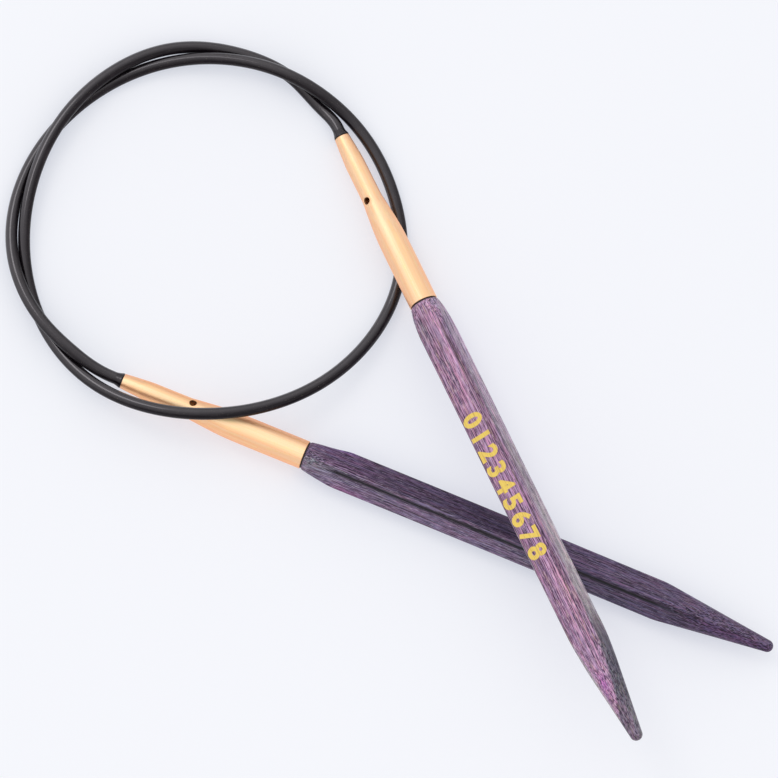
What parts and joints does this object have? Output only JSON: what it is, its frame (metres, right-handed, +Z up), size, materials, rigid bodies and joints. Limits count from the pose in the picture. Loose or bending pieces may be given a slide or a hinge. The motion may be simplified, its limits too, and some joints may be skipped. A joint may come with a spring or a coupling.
{
  "type": "circular knitting needle",
  "caption": "Fixed circular knitting needle: square laminated-wood tips in swaged metal ferrules that swivel on the ends of a coiled black flexible cable.",
  "frame": {"origin": "under the middle of the whole object as it lies coiled, on the surface it lies on", "axes": "+Z up from the surface; +X along the longer side of the layout, from the cable's coil towards the needle points; +Y from the needle points' side towards the coil"},
  "size_m": [0.1259, 0.1204, 0.0158],
  "materials": {
    "purple_wood": "purple-stained birch laminate under a thin satin lacquer, fine lengthwise streaks",
    "rose_gold": "rose-gold plated brass, satin, brushed lengthwise",
    "black_nylon": "smooth black nylon with a soft gloss",
    "steel": "bright stainless wire and turned steel",
    "brass": "plain turned brass",
    "dark_glue": "cured near-black adhesive"
  },
  "bodies": {
    "cable": {"cable_sheath": "black_nylon", "cable_core": "steel"},
    "cable_end_1": {"sheath_end_1": "black_nylon", "core_end_1": "steel", "swivel_collar_1": "black_nylon", "swivel_stud_1": "steel", "thrust_washer_1": "steel"},
    "needle_1": {"swivel_bush_1": "brass", "ferrule_1": "rose_gold", "glue_joint_1": "dark_glue", "needle_tip_1": "purple_wood"},
    "cable_end_2": {"sheath_end_2": "black_nylon", "core_end_2": "steel", "swivel_collar_2": "black_nylon", "swivel_stud_2": "steel", "thrust_washer_2": "steel"},
    "needle_2": {"swivel_bush_2": "brass", "ferrule_2": "rose_gold", "glue_joint_2": "dark_glue", "needle_tip_2": "purple_wood"}
  },
  "joints": [
    {"name": "lift_1", "type": "hinge", "parent": "cable", "child": "cable_end_1", "pos_m": [-0.00872, 0.04608, 0.00167], "axis": [-0.9066, -0.422, 0], "range_deg": [0, 30]},
    {"name": "swivel_1", "type": "hinge", "parent": "cable_end_1", "child": "needle_1", "pos_m": [-0.00771, 0.04392, 0.00193], "axis": [0.4194, -0.9011, 0.1104], "continuous": true},
    {"name": "swing_2", "type": "hinge", "parent": "cable", "child": "cable_end_2", "pos_m": [-0.04585, 0.00342, 0.00343], "axis": [0, 0, -1], "range_deg": [0, 12]},
    {"name": "swivel_2", "type": "hinge", "parent": "cable_end_2", "child": "needle_2", "pos_m": [-0.04364, 0.00249, 0.00343], "axis": [0.9229, -0.3851, 0], "continuous": true}
  ]
}
